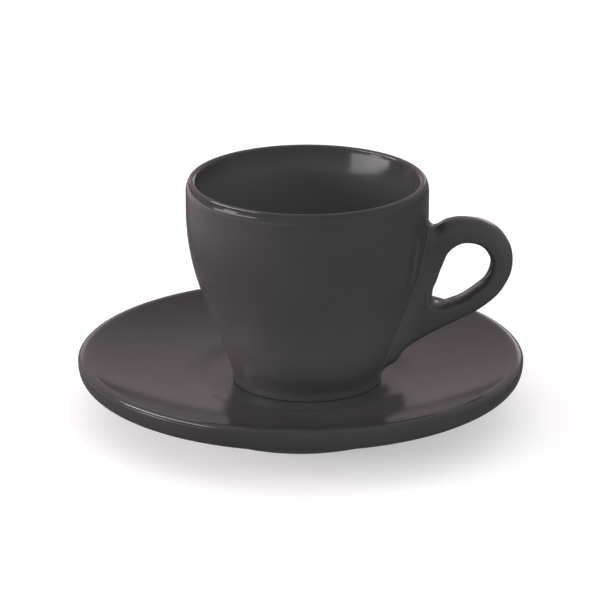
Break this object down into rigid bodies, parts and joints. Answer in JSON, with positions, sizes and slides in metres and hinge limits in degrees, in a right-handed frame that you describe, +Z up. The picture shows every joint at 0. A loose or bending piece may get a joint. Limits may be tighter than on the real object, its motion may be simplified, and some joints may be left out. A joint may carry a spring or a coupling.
{
  "type": "cappuccino cup with saucer",
  "caption": "Thick-walled glazed ceramic cappuccino cup, tapered to a narrow foot, with a closed ear handle, standing in the shallow well of a round dished saucer.",
  "frame": {"origin": "on the surface that the saucer stands on, under the middle of the saucer's foot ring", "axes": "+Z up along the cup's and the saucer's axes, +X towards the handle, +Y away from the picture's viewer"},
  "size_m": [0.1554, 0.1554, 0.0861],
  "materials": {
    "cup_glaze": "glossy charcoal glaze",
    "handle_glaze": "glossy charcoal glaze",
    "saucer_glaze": "glossy charcoal glaze"
  },
  "bodies": {
    "saucer": {"saucer": "saucer_glaze"},
    "cup": {"cup_body": "cup_glaze", "cup_handle": "handle_glaze"}
  },
  "joints": [
    {"name": "cup_lift", "type": "slide", "parent": "saucer", "child": "cup", "axis": [0, 0, 1], "range_m": [0, 0.12]}
  ]
}
